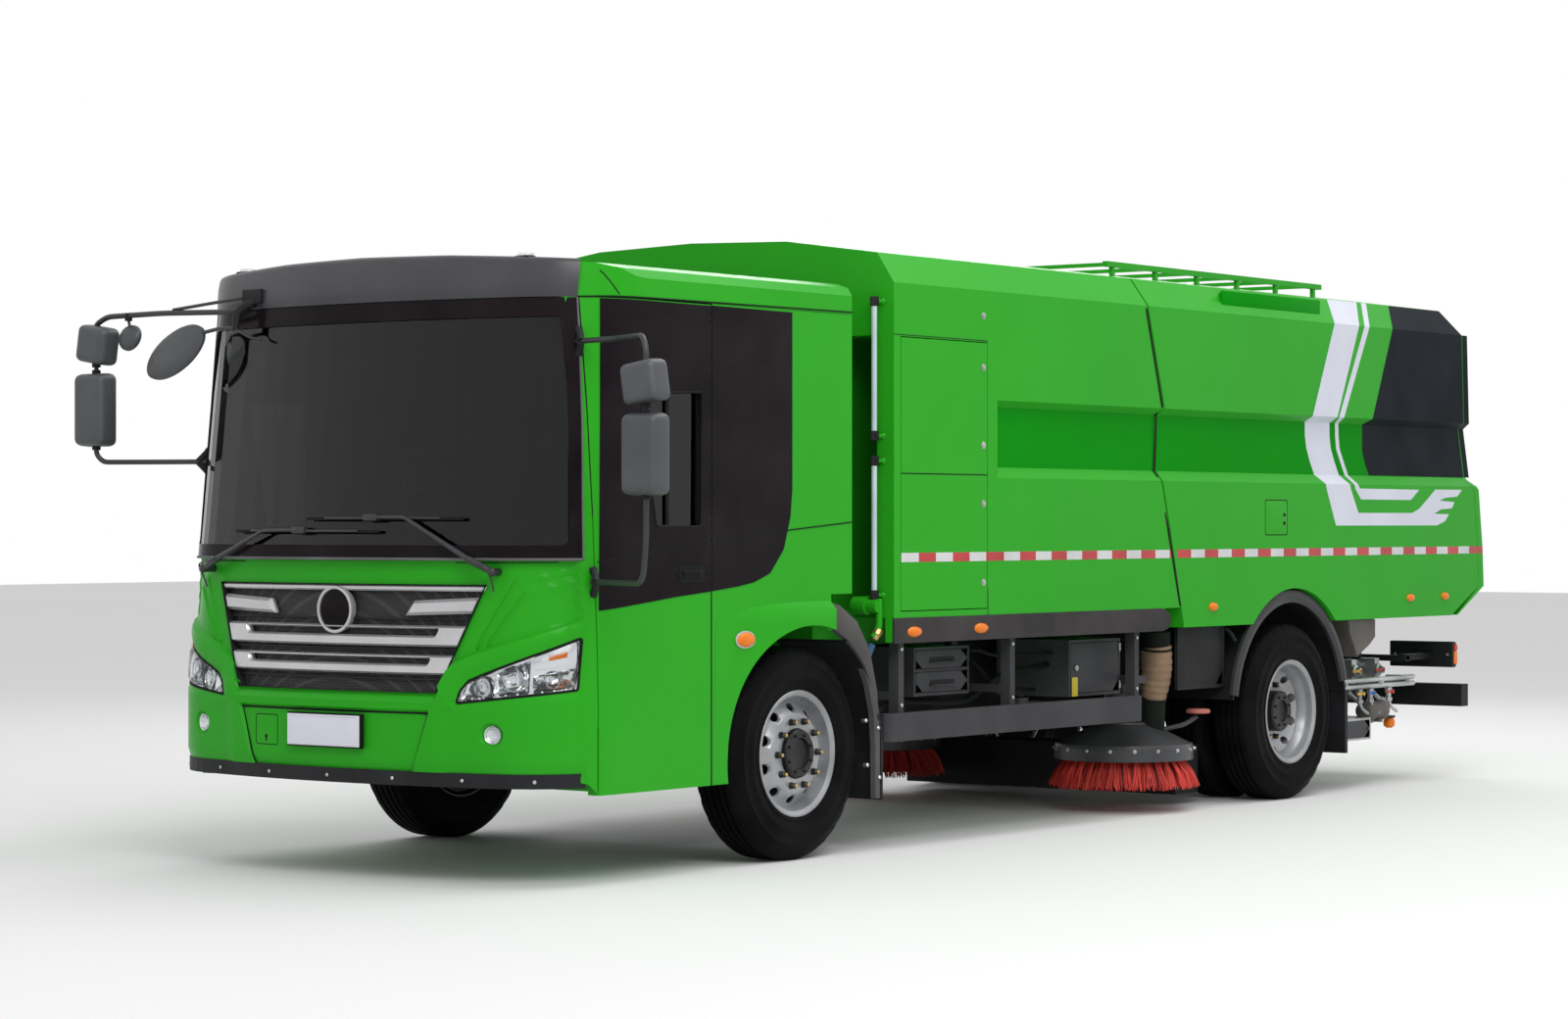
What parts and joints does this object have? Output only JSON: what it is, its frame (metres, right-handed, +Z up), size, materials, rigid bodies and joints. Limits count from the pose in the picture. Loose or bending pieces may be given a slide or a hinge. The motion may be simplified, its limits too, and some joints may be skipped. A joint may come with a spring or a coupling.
{
  "type": "street sweeper truck",
  "caption": "Low-entry electric street sweeper truck with water tank, tipping waste hopper, swinging disc brushes and a wide suction nozzle.",
  "frame": {"origin": "on the ground, at the centre of the vehicle's length and width", "axes": "+X forwards, +Y to the vehicle's left, +Z up"},
  "size_m": [9.2, 3.59, 3.025],
  "materials": {
    "body_green": "satin",
    "front_green": "gloss",
    "frame_black": "matt",
    "grille_black": "matt",
    "lamp_clear": "gloss",
    "tinted_glass": "tinted",
    "cabin_trim": "grained",
    "seat_cloth": "woven",
    "mirror_grey": "satin",
    "guard_grey": "satin",
    "steel_silver": "metallic",
    "tyre_rubber": "matt",
    "cast_dark": "painted",
    "chrome_rod": "polished",
    "box_grey": "satin",
    "lamp_red": "gloss",
    "pipe_grey": "weathered",
    "bristle_red": "matt"
  },
  "bodies": {
    "chassis": {"chassis_frame": "frame_black", "front_axle": "cast_dark", "rear_axle": "cast_dark", "drive_motor": "cast_dark", "battery_pack": "box_grey", "cab_shell": "body_green", "cab_front": "front_green", "front_valance": "guard_grey", "grille": "grille_black", "front_lamps": "lamp_clear", "windscreen": "tinted_glass", "dashboard": "cabin_trim", "steering_wheel": "cabin_trim", "seats": "seat_cloth", "mirrors": "mirror_grey", "mudguards": "guard_grey", "water_tank": "body_green", "side_guards": "guard_grey", "equipment_boxes": "box_grey", "rear_bumper": "box_grey", "rear_lamps": "lamp_red", "rear_spray_gear": "pipe_grey", "suction_duct": "guard_grey"},
    "door_left": {"door_left": "body_green", "door_left_glass": "tinted_glass"},
    "door_right": {"door_right": "body_green", "door_right_glass": "tinted_glass"},
    "knuckle_left": {"knuckle_left": "cast_dark"},
    "knuckle_right": {"knuckle_right": "cast_dark"},
    "front_wheel_left": {"front_left_rim": "steel_silver", "front_left_tyre": "tyre_rubber"},
    "front_wheel_right": {"front_right_rim": "steel_silver", "front_right_tyre": "tyre_rubber"},
    "rear_wheels_left": {"rear_left_rims": "steel_silver", "rear_left_tyres": "tyre_rubber"},
    "rear_wheels_right": {"rear_right_rims": "steel_silver", "rear_right_tyres": "tyre_rubber"},
    "service_door_left": {"service_door_left": "body_green"},
    "service_door_right": {"service_door_right": "body_green"},
    "hopper": {"hopper": "body_green", "hopper_roof_rack": "body_green"},
    "hopper_rear_door": {"hopper_rear_door": "body_green"},
    "tip_cylinders": {"tip_cylinders": "cast_dark"},
    "tip_rods": {"tip_rods": "chrome_rod"},
    "suction_nozzle": {"suction_nozzle": "frame_black"},
    "brush_arm_left": {"brush_arm_left": "frame_black"},
    "brush_left": {"brush_left": "bristle_red"},
    "brush_arm_right": {"brush_arm_right": "frame_black"},
    "brush_right": {"brush_right": "bristle_red"}
  },
  "joints": [
    {"name": "door_left_hinge", "type": "hinge", "parent": "chassis", "child": "door_left", "pos_m": [4.124, 1.222, 1.5], "axis": [0, 0, -1], "range_deg": [0, 70]},
    {"name": "door_right_hinge", "type": "hinge", "parent": "chassis", "child": "door_right", "pos_m": [4.124, -1.222, 1.5], "axis": [0, 0, 1], "range_deg": [0, 70]},
    {"name": "steer_left", "type": "hinge", "parent": "chassis", "child": "knuckle_left", "pos_m": [2.61, 0.925, 0.505], "axis": [0, 0, 1], "range_deg": [-35, 35]},
    {"name": "steer_right", "type": "hinge", "parent": "chassis", "child": "knuckle_right", "pos_m": [2.61, -0.925, 0.505], "axis": [0, 0, 1], "range_deg": [-35, 35]},
    {"name": "front_wheel_left_spin", "type": "hinge", "parent": "knuckle_left", "child": "front_wheel_left", "pos_m": [2.61, 1.05, 0.505], "axis": [0, 1, 0], "continuous": true},
    {"name": "front_wheel_right_spin", "type": "hinge", "parent": "knuckle_right", "child": "front_wheel_right", "pos_m": [2.61, -1.05, 0.505], "axis": [0, 1, 0], "continuous": true},
    {"name": "rear_wheels_left_spin", "type": "hinge", "parent": "chassis", "child": "rear_wheels_left", "pos_m": [-2.13, 0.95, 0.505], "axis": [0, 1, 0], "continuous": true},
    {"name": "rear_wheels_right_spin", "type": "hinge", "parent": "chassis", "child": "rear_wheels_right", "pos_m": [-2.13, -0.95, 0.505], "axis": [0, 1, 0], "continuous": true},
    {"name": "service_door_left_hinge", "type": "hinge", "parent": "chassis", "child": "service_door_left", "pos_m": [1.851, 1.244, 1.8], "axis": [0, 0, -1], "range_deg": [0, 110]},
    {"name": "service_door_right_hinge", "type": "hinge", "parent": "chassis", "child": "service_door_right", "pos_m": [1.851, -1.244, 1.8], "axis": [0, 0, 1], "range_deg": [0, 110]},
    {"name": "hopper_tip", "type": "hinge", "parent": "chassis", "child": "hopper", "pos_m": [-4.1, 0, 0.96], "axis": [0, -1, 0], "range_deg": [0, 45]},
    {"name": "rear_door_lift", "type": "hinge", "parent": "hopper", "child": "hopper_rear_door", "pos_m": [-4.35, 0, 2.765], "axis": [0, 1, 0], "range_deg": [0, 80]},
    {"name": "tip_cylinder_tilt", "type": "hinge", "parent": "chassis", "child": "tip_cylinders", "pos_m": [-1.75, 0, 0.7], "axis": [0, 1, 0], "range_deg": [0, 25]},
    {"name": "tip_rod_slide", "type": "slide", "parent": "tip_cylinders", "child": "tip_rods", "axis": [-0.9775, 0, 0.2111], "range_m": [0, 0.72]},
    {"name": "nozzle_lift", "type": "slide", "parent": "chassis", "child": "suction_nozzle", "axis": [0, 0, 1], "range_m": [-0.05, 0]},
    {"name": "brush_arm_left_swing", "type": "hinge", "parent": "chassis", "child": "brush_arm_left", "pos_m": [-0.33, 0.5225, 0.59], "axis": [-0.1183, -0.1183, -0.9859], "range_deg": [0, 35]},
    {"name": "brush_arm_right_swing", "type": "hinge", "parent": "chassis", "child": "brush_arm_right", "pos_m": [-0.33, -0.5225, 0.59], "axis": [0.1183, -0.1183, 0.9859], "range_deg": [0, 35]},
    {"name": "brush_left_spin", "type": "hinge", "parent": "brush_arm_left", "child": "brush_left", "pos_m": [-0.89, 0.85, 0.3], "axis": [0, 0, 1], "continuous": true},
    {"name": "brush_right_spin", "type": "hinge", "parent": "brush_arm_right", "child": "brush_right", "pos_m": [-0.89, -0.85, 0.3], "axis": [0, 0, 1], "continuous": true}
  ],
  "couplings": [
    {"joint": "steer_right", "follows": "steer_left", "ratio": 1},
    {"joint": "tip_cylinder_tilt", "follows": "hopper_tip", "ratio": 0.47336},
    {"joint": "tip_rod_slide", "follows": "hopper_tip", "m_per_rad": 0.78279}
  ]
}
